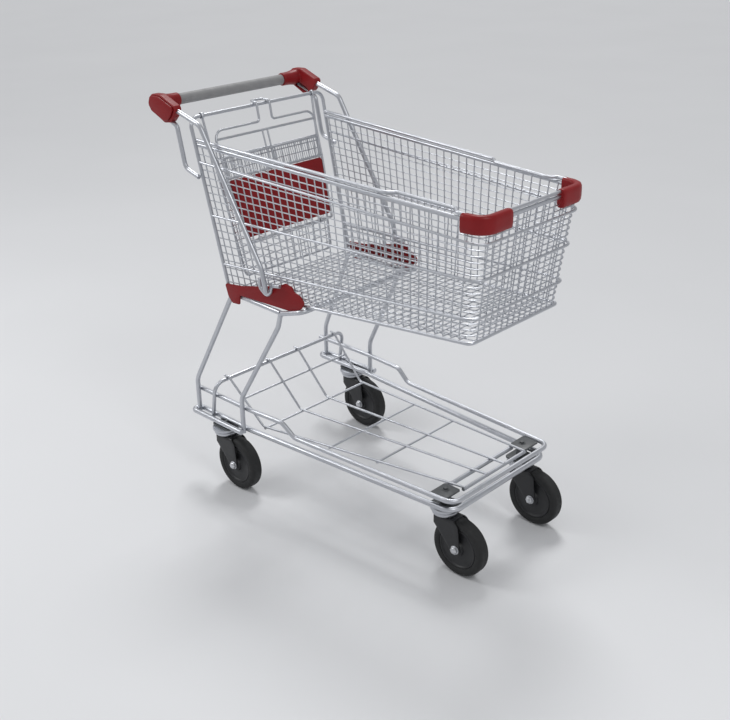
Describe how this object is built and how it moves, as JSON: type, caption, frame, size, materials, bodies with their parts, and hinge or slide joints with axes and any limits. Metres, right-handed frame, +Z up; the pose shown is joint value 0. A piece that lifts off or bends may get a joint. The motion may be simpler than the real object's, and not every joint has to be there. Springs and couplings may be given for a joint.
{
  "type": "shopping trolley",
  "caption": "Wire supermarket trolley: plated wire basket on a bent-tube chassis with lower tray, swinging rear gate with folded child seat, red plastic trim and swivel castors.",
  "frame": {"origin": "on the floor under the middle of the trolley's bounding box", "axes": "+X forward to the front of the basket, +Y to the left of someone pushing it, +Z up"},
  "size_m": [0.981, 0.5414, 0.9894],
  "materials": {
    "plated_wire": "bright zinc plate",
    "tube_steel": "bright zinc plate on tube",
    "red_plastic": "moulded, dark red, soft sheen",
    "grip": "moulded grey sleeve",
    "black_steel": "black coated pressed steel",
    "rubber": "dark solid tyre",
    "hub_plastic": "moulded near-black",
    "nut_steel": "plated bolt and nuts"
  },
  "bodies": {
    "trolley_frame": {"basket_floor": "plated_wire", "basket_floor_frame": "plated_wire", "basket_front_wall": "plated_wire", "basket_hoop_lower": "plated_wire", "basket_hoop_middle": "plated_wire", "basket_hoop_upper": "plated_wire", "basket_rear_frame": "plated_wire", "basket_second_rail": "plated_wire", "basket_side_wall_left": "plated_wire", "basket_side_wall_right": "plated_wire", "basket_top_rail": "plated_wire", "brace_bracket_left": "plated_wire", "brace_bracket_right": "plated_wire", "castor_head_front_left": "plated_wire", "castor_head_front_right": "plated_wire", "castor_head_rear_left": "plated_wire", "castor_head_rear_right": "plated_wire", "chassis_lower_rail": "plated_wire", "chassis_upper_rail": "plated_wire", "corner_bumper_left": "red_plastic", "corner_bumper_right": "red_plastic", "front_cross_bar": "plated_wire", "front_support_hoop": "tube_steel", "handle_bar": "tube_steel", "handle_brace_tube_left": "tube_steel", "handle_brace_tube_right": "tube_steel", "handle_cap_left": "red_plastic", "handle_cap_right": "red_plastic", "handle_grip": "grip", "handle_rear_tube_left": "tube_steel", "handle_rear_tube_right": "tube_steel", "rear_support_left": "tube_steel", "rear_support_right": "tube_steel", "side_plate_left": "red_plastic", "side_plate_right": "red_plastic", "tray_rack": "plated_wire", "tray_rear_hoop": "plated_wire"},
    "castor_front_left": {"castor_fork_front_left": "black_steel", "castor_axle_front_left": "nut_steel"},
    "wheel_front_left": {"castor_hub_front_left": "hub_plastic", "castor_tyre_front_left": "rubber"},
    "castor_front_right": {"castor_fork_front_right": "black_steel", "castor_axle_front_right": "nut_steel"},
    "wheel_front_right": {"castor_hub_front_right": "hub_plastic", "castor_tyre_front_right": "rubber"},
    "castor_rear_left": {"castor_fork_rear_left": "black_steel", "castor_axle_rear_left": "nut_steel"},
    "wheel_rear_left": {"castor_hub_rear_left": "hub_plastic", "castor_tyre_rear_left": "rubber"},
    "castor_rear_right": {"castor_fork_rear_right": "black_steel", "castor_axle_rear_right": "nut_steel"},
    "wheel_rear_right": {"castor_hub_rear_right": "hub_plastic", "castor_tyre_rear_right": "rubber"},
    "gate": {"rear_gate": "plated_wire"},
    "child_seat": {"seat_back": "plated_wire", "seat_hook": "plated_wire", "seat_panel": "red_plastic"}
  },
  "joints": [
    {"name": "castor_swivel_front_left", "type": "hinge", "parent": "trolley_frame", "child": "castor_front_left", "pos_m": [0.3725, 0.144, 0.15], "axis": [0, 0, 1], "continuous": true},
    {"name": "wheel_spin_front_left", "type": "hinge", "parent": "castor_front_left", "child": "wheel_front_left", "pos_m": [0.4205, 0.144, 0.07], "axis": [0, 1, 0], "continuous": true},
    {"name": "castor_swivel_front_right", "type": "hinge", "parent": "trolley_frame", "child": "castor_front_right", "pos_m": [0.3725, -0.144, 0.15], "axis": [0, 0, 1], "continuous": true},
    {"name": "wheel_spin_front_right", "type": "hinge", "parent": "castor_front_right", "child": "wheel_front_right", "pos_m": [0.4205, -0.144, 0.07], "axis": [0, 1, 0], "continuous": true},
    {"name": "castor_swivel_rear_left", "type": "hinge", "parent": "trolley_frame", "child": "castor_rear_left", "pos_m": [-0.2895, 0.2347, 0.15], "axis": [0, 0, 1], "continuous": true},
    {"name": "wheel_spin_rear_left", "type": "hinge", "parent": "castor_rear_left", "child": "wheel_rear_left", "pos_m": [-0.2415, 0.2347, 0.07], "axis": [0, 1, 0], "continuous": true},
    {"name": "castor_swivel_rear_right", "type": "hinge", "parent": "trolley_frame", "child": "castor_rear_right", "pos_m": [-0.2895, -0.2347, 0.15], "axis": [0, 0, 1], "continuous": true},
    {"name": "wheel_spin_rear_right", "type": "hinge", "parent": "castor_rear_right", "child": "wheel_rear_right", "pos_m": [-0.2415, -0.2347, 0.07], "axis": [0, 1, 0], "continuous": true},
    {"name": "gate_hinge", "type": "hinge", "parent": "trolley_frame", "child": "gate", "pos_m": [-0.3655, 0, 0.942], "axis": [0, -1, 0], "range_deg": [0, 80]},
    {"name": "child_seat_hinge", "type": "hinge", "parent": "gate", "child": "child_seat", "pos_m": [-0.26455, 0, 0.64], "axis": [0, 1, 0], "range_deg": [0, 38]}
  ]
}
